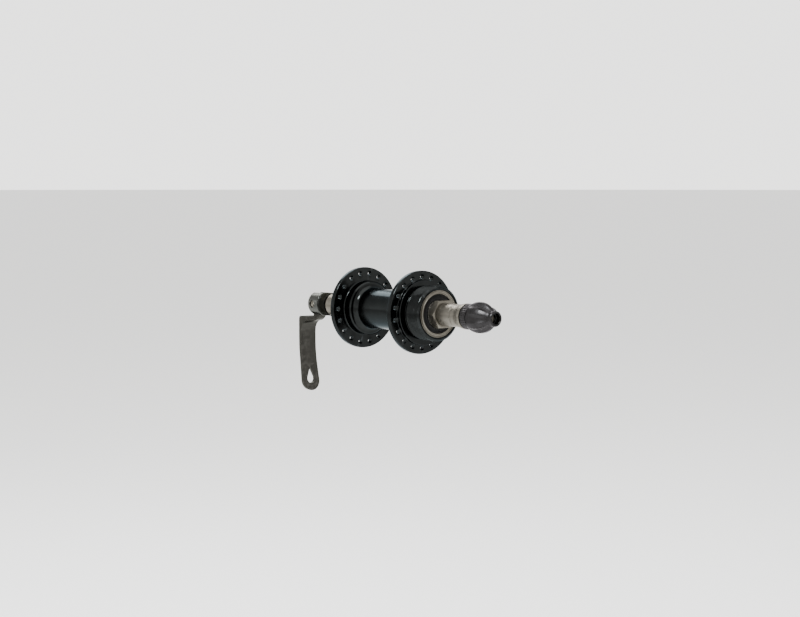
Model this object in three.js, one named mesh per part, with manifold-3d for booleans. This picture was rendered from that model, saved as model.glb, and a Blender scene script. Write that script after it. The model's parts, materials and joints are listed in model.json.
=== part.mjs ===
// Rear bicycle hub for a screw-on freewheel, with its quick-release skewer.
//
// Millimetres, +Z up, +X forwards. The axle lies along Y: the drive side is -Y and the lever side is +Y.
// The origin is on the axle's centreline, midway between the outer faces of the two end locknuts.
// The quick-release lever is shown open, hanging straight down.

import * as THREE from 'three';
import { mergeVertices } from 'three/addons/utils/BufferGeometryUtils.js';
import Module from 'manifold-3d';

const wasm = await Module();
wasm.setup();

// ---------------------------------------------------------------- driving dimensions

const FIT = 0.05; // gap between pieces that are fixed to each other
const RUN = 0.3; // gap between pieces that move past each other
const ROUND = 36; // sides of the large turned pieces
const SMALL = 24; // sides of the small turned pieces

const OVER_LOCKNUTS = 135; // over-locknut width of the hub
const END = OVER_LOCKNUTS / 2;
const AXLE_LENGTH = 145;
const AXLE_R = 5; // M10 axle
const AXLE_BORE_R = 2.9;
const THREADED_BORE_R = AXLE_R + FIT;

const BALLS_PER_SIDE = 9;
const BALL_R = 3.175; // quarter-inch balls
const BALL_CIRCLE_R = 9.75;
const RACE_R = BALL_R + 0.25;
const RACE_WRAP = 60; // degrees of ball that each race wraps
const DRIVE_BALL_Y = -35;
const LEVER_BALL_Y = 44;

const FLANGE_R = 26.5;
const FLANGE_THICKNESS = 3.5;
const FLANGE_BEVEL = 0.8;
const DRIVE_FLANGE_Y = -22;
const LEVER_FLANGE_Y = 35.7;
const SPOKES_PER_FLANGE = 18;
const SPOKE_CIRCLE_R = 22.5;
const SPOKE_HOLE_R = 1.3;

const BARREL_R = 13;
const SHOULDER_R = 17.5;
const DRIVE_SWEEP_Y = -12; // centres of the arcs that lead from the shoulders down to the barrel
const LEVER_SWEEP_Y = 24.5;
const SHELL_BORE_R = 9;
const CUP_SEAT_R = 15;
const CUP_INNER_END = 4.4; // the cup's inboard end, from the ball centres
const DRIVE_END_Y = -40;
const LEVER_END_Y = 49;

const THREAD_R = 17.4; // 1.37 inch x 24 TPI freewheel thread
const THREAD_INNER_Y = -29;
const RELIEF_R = 16.4;
const FREEWHEEL_SEAT_R = 20.75;
const FREEWHEEL_SEAT_Y = -26.6;

const CONE_SHOULDER_R = 8.6;
const CONE_OUTER_END = 4.35; // these four are distances outboard of the ball centres
const SEAL_START = 3.5;
const SEAL_END = 4.3;
const CAP_END = 4.75;
const SEAL_R = 12.2;
const CAP_HOLE_R = SEAL_R + RUN;
const WASHER_R = 8.4;
const WASHER_THICKNESS = 0.9;

const HEX_FLATS = 17;
const HEX_OUTER_Y = -45.8;
const DRIVE_SPACER_R = 7.1;
const DRIVE_LOCKNUT_R = 8;
const DRIVE_LOCKNUT_Y = -57.05;
const LEVER_SPACER_R = 7.5;
const LEVER_LOCKNUT_Y = 58;
const RIM_DROP = 0.2; // how far a locknut's serrated rim falls away behind its flat land
const DRIVE_LAND_R = 6.4;
const LEVER_LAND_R = 6.3;

const ROD_R = 2.5; // M5 skewer rod
const ROD_END_Y = -88.8;
const ROD_SHOULDER_Y = 75.8; // the round rod ends here and the flat blade starts
const BLADE_HALF_X = 1.2;
const BLADE_HALF_Z = 2.15;
const RECESS_R = 6.6; // spring recess in the nut and in the base ring

const PIVOT_Y = 82;
const CAM_THROW = 0.6; // offset of the eccentric, half of the pull
const CAM_R = 1.5;
const SHAFT_R = 2.2;
const SHAFT_HALF_X = 7.2;
const FORK_GAP_HALF_X = BLADE_HALF_X + RUN;
const HEAD_HALF_X = 2.7;
const HEAD_R = 4.4;
const FORK_THROAT_R = 5.2;

const HOUSING_R = 8;
const HOUSING_START_Y = 76.05;
const HOUSING_FLOOR_Y = 77.3;
const HOUSING_NOTCH_Z = 4.2;
const HOUSING_END_Y = 88.5;
const BASE_RING_R = 7.75;
const BASE_RING_START_Y = 69;
const BASE_RING_END_Y = 76;

const NUT_START_Y = -67.8;
const NUT_LENGTH = 24.7;
const NUT_BORE_R = 2.85;
const NUT_POCKET_R = 3.3;
const NUT_FLUTES = 6;

const ARM_HALF_WIDTH = 6.2;
const LOOP_R = 6.8;
const TIP_Z = -60.1;
const LOOP_HOLE_R = 3.2;
const LOOP_HOLE_Z = -52;
const LOOP_HOLE_TOP_Z = -43.5;

const WIRE_R = 0.35;

// ---------------------------------------------------------------- materials

function material(colour, roughness, metalness) {
  return new THREE.MeshStandardMaterial({ color: colour, roughness, metalness });
}

const FINISH = {
  blackShell: () => material(0x0c1115, 0.22, 0.55),
  zincSteel: () => material(0xb9b3aa, 0.3, 0.95),
  satinSteel: () => material(0xc9c4ba, 0.34, 0.95),
  bearingSteel: () => material(0x9fa3a6, 0.15, 1),
  blackRubber: () => material(0x141414, 0.8, 0),
  darkMetal: () => material(0x3b3d3f, 0.38, 0.8),
  blackMetal: () => material(0x17181a, 0.35, 0.6),
  greyMetal: () => material(0x55595c, 0.3, 0.85),
  nylon: () => material(0x1d1d1f, 0.6, 0),
};

// ---------------------------------------------------------------- solids and booleans

// Joins vertices that coincide and drops the triangles that closed up.
function weld(geometry) {
  geometry.deleteAttribute('normal');
  geometry.deleteAttribute('uv');
  const merged = mergeVertices(geometry, 1e-4);
  const from = merged.getIndex().array;
  const kept = [];
  for (let i = 0; i < from.length; i += 3) {
    const [a, b, c] = [from[i], from[i + 1], from[i + 2]];
    if (a !== b && b !== c && c !== a) {
      kept.push(a, b, c);
    }
  }
  merged.setIndex(kept);
  return merged;
}

function toSolid(geometry) {
  const welded = weld(geometry);
  return new wasm.Manifold(
    new wasm.Mesh({
      numProp: 3,
      vertProperties: new Float32Array(welded.getAttribute('position').array),
      triVerts: new Uint32Array(welded.getIndex().array),
    }),
  );
}

function toGeometry(solid) {
  const mesh = solid.getMesh();
  const geometry = new THREE.BufferGeometry();
  geometry.setAttribute('position', new THREE.BufferAttribute(mesh.vertProperties, 3));
  geometry.setIndex(new THREE.BufferAttribute(mesh.triVerts, 1));
  return geometry;
}

function cut(base, tools) {
  let solid = toSolid(base);
  for (const tool of tools) {
    solid = solid.subtract(toSolid(tool));
  }
  return toGeometry(solid);
}

function join(pieces) {
  let solid = toSolid(pieces[0]);
  for (const piece of pieces.slice(1)) {
    solid = solid.add(toSolid(piece));
  }
  return toGeometry(solid);
}

function common(a, b) {
  return toGeometry(toSolid(a).intersect(toSolid(b)));
}

// Turns a closed outline of [radius, y] points about the Y axis.
function turned(outline, sides) {
  let area = 0;
  outline.forEach(([r, y], i) => {
    const [nextR, nextY] = outline[(i + 1) % outline.length];
    area += r * nextY - nextR * y;
  });
  const ordered = area > 0 ? outline : [...outline].reverse();
  const points = [...ordered, ordered[0]].map(([r, y]) => new THREE.Vector2(r, y));
  return weld(new THREE.LatheGeometry(points, sides));
}

function ring(innerR, outerR, y0, y1, sides) {
  return turned([[innerR, y0], [outerR, y0], [outerR, y1], [innerR, y1]], sides);
}

// A cylinder along Y between y0 and y1.
function rodAlongY(radius, y0, y1, sides) {
  return new THREE.CylinderGeometry(radius, radius, y1 - y0, sides).translate(0, (y0 + y1) / 2, 0);
}

// A cylinder along X between x0 and x1, on the line at (y, z).
function rodAlongX(radius, x0, x1, y, z, sides) {
  const rod = new THREE.CylinderGeometry(radius, radius, x1 - x0, sides);
  return rod.rotateZ(-Math.PI / 2).translate((x0 + x1) / 2, y, z);
}

function box(x0, x1, y0, y1, z0, z1) {
  const block = new THREE.BoxGeometry(x1 - x0, y1 - y0, z1 - z0);
  return block.translate((x0 + x1) / 2, (y0 + y1) / 2, (z0 + z1) / 2);
}

// Points of a circular arc, angles in degrees.
function arc(centreU, centreV, radius, from, to, steps) {
  return Array.from({ length: steps + 1 }, (_, i) => {
    const angle = THREE.MathUtils.degToRad(from + ((to - from) * i) / steps);
    return [centreU + radius * Math.cos(angle), centreV + radius * Math.sin(angle)];
  });
}

// An outline in the Y-Z plane, extruded along X and centred on X = 0.
function plateAcrossX(outline, thickness) {
  const shape = new THREE.Shape(outline.map(([y, z]) => new THREE.Vector2(y, z)));
  const plate = new THREE.ExtrudeGeometry(shape, { depth: thickness, bevelEnabled: false });
  const turn = new THREE.Matrix4().makeBasis(
    new THREE.Vector3(0, 1, 0),
    new THREE.Vector3(0, 0, 1),
    new THREE.Vector3(1, 0, 0),
  );
  return plate.applyMatrix4(turn).translate(-thickness / 2, 0, 0);
}

// An outline in the X-Z plane, extruded along Y from y0 to y1.
function plateAcrossZ(outline, z0, z1) {
  const shape = new THREE.Shape(outline.map(([x, y]) => new THREE.Vector2(x, y)));
  return new THREE.ExtrudeGeometry(shape, { depth: z1 - z0, bevelEnabled: false }).translate(0, 0, z0);
}

function plateAcrossY(outline, y0, y1) {
  const shape = new THREE.Shape(outline.map(([x, z]) => new THREE.Vector2(x, z)));
  const plate = new THREE.ExtrudeGeometry(shape, { depth: y1 - y0, bevelEnabled: false });
  const turn = new THREE.Matrix4().makeBasis(
    new THREE.Vector3(1, 0, 0),
    new THREE.Vector3(0, 0, 1),
    new THREE.Vector3(0, -1, 0),
  );
  return plate.applyMatrix4(turn).translate(0, y1, 0);
}

function piece(name, geometry, finish) {
  const mesh = new THREE.Mesh(geometry, finish());
  mesh.name = name;
  return mesh;
}

function assembly(...members) {
  const group = new THREE.Group();
  group.add(...members);
  return group;
}

// ---------------------------------------------------------------- the two sides of the hub

// Each side has its ball centres at ballY and counts distances outboard of them.
const DRIVE = { name: 'drive', ballY: DRIVE_BALL_Y, out: -1 };
const LEVER = { name: 'lever_side', ballY: LEVER_BALL_Y, out: 1 };

function outboard(side, outline) {
  return outline.map(([r, s]) => [r, side.ballY + side.out * s]);
}

// ---------------------------------------------------------------- hub shell

function flangeRim(flangeY) {
  const half = FLANGE_THICKNESS / 2;
  return [
    [FLANGE_R - FLANGE_BEVEL, flangeY - half],
    [FLANGE_R, flangeY - half + FLANGE_BEVEL],
    [FLANGE_R, flangeY + half - FLANGE_BEVEL],
    [FLANGE_R - FLANGE_BEVEL, flangeY + half],
  ];
}

function hubShell() {
  const half = FLANGE_THICKNESS / 2;
  const driveSweep = arc(SHOULDER_R, DRIVE_SWEEP_Y, SHOULDER_R - BARREL_R, 270, 180, 4);
  const leverSweep = arc(SHOULDER_R - 1, LEVER_SWEEP_Y, SHOULDER_R - 1 - BARREL_R, 180, 90, 4);
  const outline = [
    [THREAD_R - 0.8, DRIVE_END_Y],
    [THREAD_R, DRIVE_END_Y + 0.8],
    [THREAD_R, THREAD_INNER_Y],
    [RELIEF_R, THREAD_INNER_Y + 0.3],
    [RELIEF_R, FREEWHEEL_SEAT_Y],
    [FREEWHEEL_SEAT_R - 0.4, FREEWHEEL_SEAT_Y],
    [FREEWHEEL_SEAT_R, FREEWHEEL_SEAT_Y + 0.4],
    [FREEWHEEL_SEAT_R, DRIVE_FLANGE_Y - half],
    ...flangeRim(DRIVE_FLANGE_Y),
    [SHOULDER_R, DRIVE_FLANGE_Y + half],
    ...driveSweep,
    ...leverSweep,
    [SHOULDER_R - 0.4, 28],
    [SHOULDER_R, 28.4],
    [SHOULDER_R, LEVER_FLANGE_Y - half],
    ...flangeRim(LEVER_FLANGE_Y),
    [THREAD_R, LEVER_FLANGE_Y + half],
    [THREAD_R, LEVER_END_Y - 0.6],
    [THREAD_R - 0.6, LEVER_END_Y],
    [CUP_SEAT_R, LEVER_END_Y],
    [CUP_SEAT_R, LEVER_BALL_Y - CUP_INNER_END - 2 * FIT],
    [SHELL_BORE_R, LEVER_BALL_Y - CUP_INNER_END - 2 * FIT],
    [SHELL_BORE_R, DRIVE_BALL_Y + CUP_INNER_END + 2 * FIT],
    [CUP_SEAT_R, DRIVE_BALL_Y + CUP_INNER_END + 2 * FIT],
    [CUP_SEAT_R, DRIVE_END_Y],
  ];
  const step = (2 * Math.PI) / SPOKES_PER_FLANGE;
  const holes = [];
  for (const [flangeY, phase] of [[DRIVE_FLANGE_Y, 0], [LEVER_FLANGE_Y, 0.5]]) {
    for (let i = 0; i < SPOKES_PER_FLANGE; i += 1) {
      const angle = (i + phase) * step;
      const hole = rodAlongY(SPOKE_HOLE_R, flangeY - 2 * half, flangeY + 2 * half, 8);
      holes.push(hole.translate(SPOKE_CIRCLE_R * Math.sin(angle), 0, SPOKE_CIRCLE_R * Math.cos(angle)));
    }
  }
  return cut(turned(outline, ROUND), holes);
}

// ---------------------------------------------------------------- bearings

function cup(side) {
  const race = arc(BALL_CIRCLE_R, 0, RACE_R, 0, -RACE_WRAP, 3);
  const outline = [
    [CUP_SEAT_R - FIT, -CUP_INNER_END],
    [CUP_SEAT_R - FIT, SEAL_START],
    [BALL_CIRCLE_R + RACE_R, SEAL_START],
    ...race,
    [11.2, -CUP_INNER_END],
  ];
  return turned(outboard(side, outline), ROUND);
}

function cone(side) {
  const race = arc(BALL_CIRCLE_R, 0, RACE_R, 180, 180 - RACE_WRAP, 3);
  const outline = [
    [THREADED_BORE_R, -3.4],
    [6.1, -3.4],
    ...race,
    [CONE_SHOULDER_R, SEAL_START],
    [CONE_SHOULDER_R, CONE_OUTER_END],
    [THREADED_BORE_R, CONE_OUTER_END],
  ];
  return turned(outboard(side, outline), ROUND);
}

function dustCap(side) {
  const start = SEAL_START + FIT;
  const outline = [
    [CAP_HOLE_R, start],
    [CUP_SEAT_R - FIT, start],
    [CUP_SEAT_R - FIT, CAP_END - 0.3],
    [CUP_SEAT_R - 0.4, CAP_END],
    [CAP_HOLE_R + 0.3, CAP_END],
    [CAP_HOLE_R, CAP_END - 0.3],
  ];
  return turned(outboard(side, outline), ROUND);
}

function coneSeal(side) {
  const outline = [
    [CONE_SHOULDER_R + FIT, SEAL_START],
    [SEAL_R, SEAL_START],
    [SEAL_R, SEAL_END],
    [CONE_SHOULDER_R + FIT, SEAL_END],
  ];
  return turned(outboard(side, outline), ROUND);
}

function ballSet(side) {
  const balls = [];
  for (let i = 0; i < BALLS_PER_SIDE; i += 1) {
    const angle = (i * 2 * Math.PI) / BALLS_PER_SIDE;
    const ball = piece(
      `${side.name}_ball_${i + 1}`,
      weld(new THREE.IcosahedronGeometry(BALL_R, 1)),
      FINISH.bearingSteel,
    );
    ball.position.set(BALL_CIRCLE_R * Math.sin(angle), side.ballY, BALL_CIRCLE_R * Math.cos(angle));
    balls.push(ball);
  }
  return balls;
}

// ---------------------------------------------------------------- axle and its nuts

function axle() {
  const half = AXLE_LENGTH / 2;
  const outline = [
    [AXLE_BORE_R, -half],
    [AXLE_R - 0.5, -half],
    [AXLE_R, -half + 0.5],
    [AXLE_R, half - 0.5],
    [AXLE_R - 0.5, half],
    [AXLE_BORE_R, half],
  ];
  return turned(outline, SMALL);
}

function lockWasher(side) {
  const start = CONE_OUTER_END + FIT;
  const end = start + WASHER_THICKNESS;
  const outline = [
    [THREADED_BORE_R, start],
    [WASHER_R, start],
    [WASHER_R, end],
    [THREADED_BORE_R, end],
  ];
  return turned(outboard(side, outline), SMALL);
}

// Where the next piece outboard of a lock washer starts.
function stackStart(side) {
  return side.ballY + side.out * (CONE_OUTER_END + WASHER_THICKNESS + 2 * FIT);
}

function hexLocknut() {
  const innerY = stackStart(DRIVE);
  const cornerR = HEX_FLATS / 2 / Math.cos(Math.PI / 6);
  const bevel = 0.7;
  const prism = rodAlongY(cornerR, HEX_OUTER_Y, innerY, 6).rotateY(Math.PI / 6);
  const envelope = turned(
    [
      [THREADED_BORE_R, HEX_OUTER_Y],
      [HEX_FLATS / 2, HEX_OUTER_Y],
      [cornerR + FIT, HEX_OUTER_Y + bevel],
      [cornerR + FIT, innerY - bevel],
      [HEX_FLATS / 2, innerY],
      [THREADED_BORE_R, innerY],
    ],
    SMALL,
  );
  return common(prism, envelope);
}

function driveLocknut() {
  const outline = [
    [THREADED_BORE_R, DRIVE_LOCKNUT_Y],
    [DRIVE_SPACER_R, DRIVE_LOCKNUT_Y],
    [DRIVE_SPACER_R + 0.1, DRIVE_LOCKNUT_Y - 4],
    [DRIVE_LOCKNUT_R, DRIVE_LOCKNUT_Y - 8.5],
    [DRIVE_LOCKNUT_R, -END + RIM_DROP],
    [DRIVE_LAND_R, -END],
    [THREADED_BORE_R, -END],
  ];
  return turned(outline, SMALL);
}

function leverLocknut() {
  const outline = [
    [THREADED_BORE_R, LEVER_LOCKNUT_Y],
    [LEVER_SPACER_R - 0.3, LEVER_LOCKNUT_Y],
    [LEVER_SPACER_R, LEVER_LOCKNUT_Y + 0.3],
    [LEVER_SPACER_R, END - RIM_DROP],
    [LEVER_LAND_R, END],
    [THREADED_BORE_R, END],
  ];
  return turned(outline, SMALL);
}

// ---------------------------------------------------------------- skewer, cam and lever

function eyeOutline(halfY, halfZ) {
  return arc(0, 0, 1, 0, 337.5, 15).map(([u, v]) => [PIVOT_Y - CAM_THROW + halfY * u, halfZ * v]);
}

function skewerRod() {
  const bevel = 0.5;
  const rod = turned(
    [
      [0, ROD_END_Y],
      [ROD_R - bevel, ROD_END_Y],
      [ROD_R, ROD_END_Y + bevel],
      [ROD_R, ROD_SHOULDER_Y],
      [0, ROD_SHOULDER_Y],
    ],
    SMALL,
  );
  const blade = box(-BLADE_HALF_X, BLADE_HALF_X, ROD_SHOULDER_Y - 1, PIVOT_Y - 3, -BLADE_HALF_Z, BLADE_HALF_Z);
  const eye = plateAcrossX(eyeOutline(3.5, 3.9), 2 * BLADE_HALF_X);
  const hole = plateAcrossX(eyeOutline(CAM_R + 0.45, CAM_R + CAM_THROW + RUN), 4);
  return cut(join([rod, blade, eye]), [hole]);
}

function camShaft() {
  const neck = FORK_GAP_HALF_X;
  const inboard = PIVOT_Y - CAM_THROW;
  return join([
    rodAlongX(SHAFT_R, -SHAFT_HALF_X, -neck, PIVOT_Y, 0, SMALL),
    rodAlongX(SHAFT_R, neck, SHAFT_HALF_X, PIVOT_Y, 0, SMALL),
    rodAlongX(CAM_R, -neck - 0.5, neck + 0.5, inboard, 0, 16),
  ]);
}

function camHousing() {
  const body = turned(
    [
      [0, HOUSING_START_Y],
      [HOUSING_R - 0.3, HOUSING_START_Y],
      [HOUSING_R, HOUSING_START_Y + 0.3],
      [HOUSING_R, HOUSING_END_Y - 2],
      [HOUSING_R - 0.9, HOUSING_END_Y - 0.6],
      [HOUSING_R - 2.2, HOUSING_END_Y],
      [0, HOUSING_END_Y],
    ],
    32,
  );
  const rodHole = rodAlongY(ROD_R + RUN, HOUSING_START_Y - 1, HOUSING_FLOOR_Y + 1, SMALL);
  const halfSlot = HEAD_HALF_X + RUN;
  const slot = box(-halfSlot, halfSlot, HOUSING_FLOOR_Y, HOUSING_END_Y + 2, -10, 10);
  // The closed lever lies above the axle, so there the slot runs out through the floor.
  const leverNotch = box(-halfSlot, halfSlot, HOUSING_START_Y - 1, HOUSING_FLOOR_Y + 1, HOUSING_NOTCH_Z, 10);
  const shaftHole = rodAlongX(SHAFT_R + RUN, -10, 10, PIVOT_Y, 0, SMALL);
  return cut(body, [rodHole, slot, leverNotch, shaftHole]);
}

function baseRing() {
  const outline = [
    [RECESS_R, BASE_RING_START_Y],
    [BASE_RING_R - 0.3, BASE_RING_START_Y],
    [BASE_RING_R, BASE_RING_START_Y + 0.3],
    [BASE_RING_R, BASE_RING_END_Y],
    [RECESS_R, BASE_RING_END_Y],
  ];
  return turned(outline, SMALL);
}

// The lever's outline seen from the front, in Y and Z: neck, outward bend, straight arm and tilted loop.
function leverSideOutline() {
  const outerFace = [
    [86.2, -4.6],
    [86.7, -8],
    [88.6, -8.8],
    [97.2, -9],
    [98.5, -9.8],
    [98.8, -11.2],
    [98.8, -32],
    [94.4, TIP_Z],
  ];
  const innerFace = [
    [92, TIP_Z],
    [96.4, -32.2],
    [96.4, -22],
    [95.9, -18.6],
    [94.2, -14.9],
    [91.4, -12.8],
    [88, -12],
    [83.6, -11],
    [80.9, -9],
    [79.6, -6.4],
  ];
  return [...outerFace, ...innerFace];
}

// The lever's outline seen from the side of the bicycle, in X and Z.
function leverFaceOutline() {
  const loop = arc(0, TIP_Z + LOOP_R, LOOP_R, 180, 360, 12);
  return [
    [-HEAD_HALF_X, 8],
    [-HEAD_HALF_X, -8.4],
    [-ARM_HALF_WIDTH, -8.6],
    [-ARM_HALF_WIDTH, -40],
    ...loop,
    [ARM_HALF_WIDTH, -40],
    [ARM_HALF_WIDTH, -8.6],
    [HEAD_HALF_X, -8.4],
    [HEAD_HALF_X, 8],
  ];
}

// The lever's outline seen from above, in X and Y: it widens from the neck to the arm.
function leverPlanOutline() {
  const half = LOOP_R + 1;
  return [
    [-HEAD_HALF_X, 78],
    [HEAD_HALF_X, 78],
    [HEAD_HALF_X, 86.6],
    [ARM_HALF_WIDTH - 0.6, 89.4],
    [ARM_HALF_WIDTH, 91.4],
    [half, 91.5],
    [half, 104],
    [-half, 104],
    [-half, 91.5],
    [-ARM_HALF_WIDTH, 91.4],
    [-ARM_HALF_WIDTH + 0.6, 89.4],
    [-HEAD_HALF_X, 86.6],
  ];
}

function loopHoleOutline() {
  const side = THREE.MathUtils.radToDeg(Math.asin(LOOP_HOLE_R / (LOOP_HOLE_TOP_Z - LOOP_HOLE_Z)));
  return [[0, LOOP_HOLE_TOP_Z], ...arc(0, LOOP_HOLE_Z, LOOP_HOLE_R, 180 - side, 360 + side, 14)];
}

function lever() {
  const head = rodAlongX(HEAD_R, -HEAD_HALF_X, HEAD_HALF_X, PIVOT_Y, 0, 32);
  const fullWidth = common(
    plateAcrossX(leverSideOutline(), 4 * LOOP_R),
    plateAcrossY(leverFaceOutline(), 60, 110),
  );
  const arm = common(fullWidth, plateAcrossZ(leverPlanOutline(), TIP_Z - 5, 10));
  const neck = plateAcrossX([[79.6, -6.4], [78.6, -2.4], [85.4, -2.4], [86.2, -4.6]], 2 * HEAD_HALF_X);
  const throat = rodAlongX(FORK_THROAT_R, -FORK_GAP_HALF_X, FORK_GAP_HALF_X, PIVOT_Y, 0, 32);
  const shaftHole = rodAlongX(SHAFT_R + FIT, -10, 10, PIVOT_Y, 0, SMALL);
  const loopHole = plateAcrossY(loopHoleOutline(), 60, 110);
  return cut(join([arm, neck, head]), [throat, shaftHole, loopHole]);
}

// ---------------------------------------------------------------- nut, insert and springs

function quickReleaseNut() {
  const end = NUT_START_Y - NUT_LENGTH;
  const bands = [
    [7.7, 0],
    [8, 0.4],
    [8, 5],
    [8.7, 6],
    [9.4, 7.6],
    [9.65, 9.6],
    [9.6, 12.4],
    [9, 15.4],
    [7.3, 19],
    [5.6, 22.2],
    [4.9, 23.8],
    [4.4, NUT_LENGTH],
  ];
  const floor = 8.4;
  const pocket = 16.5;
  const outline = [
    ...bands.map(([r, s]) => [r, NUT_START_Y - s]),
    [NUT_POCKET_R, end],
    [NUT_POCKET_R, NUT_START_Y - pocket],
    [NUT_BORE_R, NUT_START_Y - pocket],
    [NUT_BORE_R, NUT_START_Y - floor],
    [RECESS_R, NUT_START_Y - floor],
    [RECESS_R, NUT_START_Y],
  ];
  const flutes = [];
  for (let i = 0; i < NUT_FLUTES; i += 1) {
    const flute = new THREE.CylinderGeometry(3.2, 3.2, 18, 12);
    flute.rotateX(THREE.MathUtils.degToRad(12)).translate(0, NUT_START_Y - 18, 10.6);
    flutes.push(flute.rotateY(((i + 0.5) * 2 * Math.PI) / NUT_FLUTES));
  }
  return cut(turned(outline, 32), flutes);
}

class VoluteCurve extends THREE.Curve {
  constructor(startR, endR, startY, endY, turns) {
    super();
    Object.assign(this, { startR, endR, startY, endY, turns });
  }

  getPoint(t, target = new THREE.Vector3()) {
    const radius = THREE.MathUtils.lerp(this.startR, this.endR, t);
    const y = THREE.MathUtils.lerp(this.startY, this.endY, t);
    const angle = 2 * Math.PI * this.turns * t;
    return target.set(radius * Math.sin(angle), y, radius * Math.cos(angle));
  }
}

// A conical spring, nearly flat, with its narrow end towards the hub.
function voluteSpring(narrowY, wideY) {
  const section = new THREE.Shape(arc(0, 0, WIRE_R, 0, 300, 5).map(([u, v]) => new THREE.Vector2(u, v)));
  const path = new VoluteCurve(3.4, 5.8, narrowY, wideY, 2.25);
  return weld(new THREE.ExtrudeGeometry(section, { steps: 36, extrudePath: path, bevelEnabled: false }));
}

// ---------------------------------------------------------------- the whole hub

function fixedStack(side) {
  return [
    piece(`${side.name}_cone`, cone(side), FINISH.bearingSteel),
    piece(`${side.name}_cone_seal`, coneSeal(side), FINISH.blackRubber),
    piece(`${side.name}_lock_washer`, lockWasher(side), FINISH.zincSteel),
  ];
}

function turningRaces(side) {
  return [
    piece(`${side.name}_cup`, cup(side), FINISH.bearingSteel),
    piece(`${side.name}_dust_cap`, dustCap(side), FINISH.zincSteel),
  ];
}

const axleAssembly = assembly(
  piece('axle', axle(), FINISH.zincSteel),
  ...fixedStack(DRIVE),
  piece('drive_hex_locknut', hexLocknut(), FINISH.zincSteel),
  piece(
    'drive_spacer',
    ring(THREADED_BORE_R, DRIVE_SPACER_R, DRIVE_LOCKNUT_Y + FIT, HEX_OUTER_Y - FIT, SMALL),
    FINISH.satinSteel,
  ),
  piece('drive_end_locknut', driveLocknut(), FINISH.satinSteel),
  ...fixedStack(LEVER),
  piece(
    'lever_side_spacer',
    ring(THREADED_BORE_R, LEVER_SPACER_R, stackStart(LEVER), LEVER_LOCKNUT_Y - FIT, SMALL),
    FINISH.satinSteel,
  ),
  piece('lever_side_end_locknut', leverLocknut(), FINISH.satinSteel),
);

const rotatingHub = assembly(
  piece('hub_shell', hubShell(), FINISH.blackShell),
  ...turningRaces(DRIVE),
  ...turningRaces(LEVER),
);

const quickRelease = assembly(
  piece('skewer_rod', skewerRod(), FINISH.zincSteel),
  assembly(
    piece('cam_housing', camHousing(), FINISH.greyMetal),
    piece('base_ring', baseRing(), FINISH.blackMetal),
    piece('lever_side_spring', voluteSpring(74.2, 75.55), FINISH.zincSteel),
    assembly(
      piece('quick_release_lever', lever(), FINISH.blackMetal),
      piece('cam_shaft', camShaft(), FINISH.zincSteel),
    ),
  ),
  assembly(
    piece('nut_spring', voluteSpring(-74.2, -75.7), FINISH.zincSteel),
    piece('quick_release_nut', quickReleaseNut(), FINISH.darkMetal),
    piece('nut_insert', ring(ROD_R + RUN, NUT_POCKET_R - FIT, -89.8, -84.4, SMALL), FINISH.nylon),
  ),
);

const hub = assembly(
  axleAssembly,
  rotatingHub,
  assembly(...ballSet(DRIVE)),
  assembly(...ballSet(LEVER)),
  quickRelease,
);
hub.name = 'rear_hub';

export default hub;
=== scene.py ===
import json
import math

import bmesh
import bpy
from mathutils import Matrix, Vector


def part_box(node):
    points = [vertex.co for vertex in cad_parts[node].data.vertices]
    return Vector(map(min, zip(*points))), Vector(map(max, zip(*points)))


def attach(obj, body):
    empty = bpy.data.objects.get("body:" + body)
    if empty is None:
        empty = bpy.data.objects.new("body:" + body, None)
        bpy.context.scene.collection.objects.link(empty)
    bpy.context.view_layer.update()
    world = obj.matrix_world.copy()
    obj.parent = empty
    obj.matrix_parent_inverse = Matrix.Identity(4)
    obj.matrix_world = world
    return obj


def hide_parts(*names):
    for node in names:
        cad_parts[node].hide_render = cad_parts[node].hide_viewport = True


# The looks of a bicycle's rear hub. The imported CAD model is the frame, and every one of its nodes is
# remade here as a finer piece that rides on the same body.

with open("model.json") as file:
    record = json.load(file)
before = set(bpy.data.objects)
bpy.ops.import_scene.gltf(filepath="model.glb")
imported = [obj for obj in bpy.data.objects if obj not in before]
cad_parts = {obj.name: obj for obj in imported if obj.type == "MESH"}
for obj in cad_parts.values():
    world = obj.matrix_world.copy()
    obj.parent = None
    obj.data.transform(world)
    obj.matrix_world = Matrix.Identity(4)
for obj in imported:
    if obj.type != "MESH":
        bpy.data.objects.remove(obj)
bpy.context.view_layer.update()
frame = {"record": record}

MM = 0.001
TAU = 2 * math.pi
RECORD = frame["record"]
BODY_OF = {node: body for body, nodes in RECORD["behaviour"]["bodies"].items() for node in nodes}
SLOT_OF = {part["node"]: part["material_slot"] for part in RECORD["subparts"]}
MOUNT_Y = {mount["name"]: mount["pos_m"][1] / MM for mount in RECORD["mounts"]}
PIVOT_Y = next(j for j in RECORD["behaviour"]["joints"] if j["name"] == "lever_swing")["pos_m"][1] / MM

# ------------------------------------------------------------------ sizes shared with the CAD, in mm

AXLE_BORE_R = 2.9
THREADED_BORE_R = 5.05
CUP_SEAT_R = 15.0
SHELL_BORE_R = 9.0
BARREL_R = 13.0
SHOULDER_R = 17.5
BOSS_R = 17.4
RELIEF_R = 16.4
SEAT_R = 20.75
FLANGE_THICKNESS = 3.5
SPOKES = 18
SPOKE_CIRCLE_R = 22.5
SPOKE_HOLE_R = 1.3
RECESS_R = 6.6
ROD_R = 2.5
BALL_R = 3.175
BALL_CIRCLE_R = 9.75
RACE_R = 3.425
FREEWHEEL_PITCH = 25.4 / 24
AXLE_PITCH = 1.0
SKEWER_PITCH = 0.8
CAM_THROW = 0.6


# ------------------------------------------------------------------ shapes

def span(node):
    """(lowest y, highest y, largest radius) of a CAD node in mm."""
    low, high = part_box(node)
    return low[1] / MM, high[1] / MM, max(high[0], high[2], -low[0], -low[2]) / MM


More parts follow.
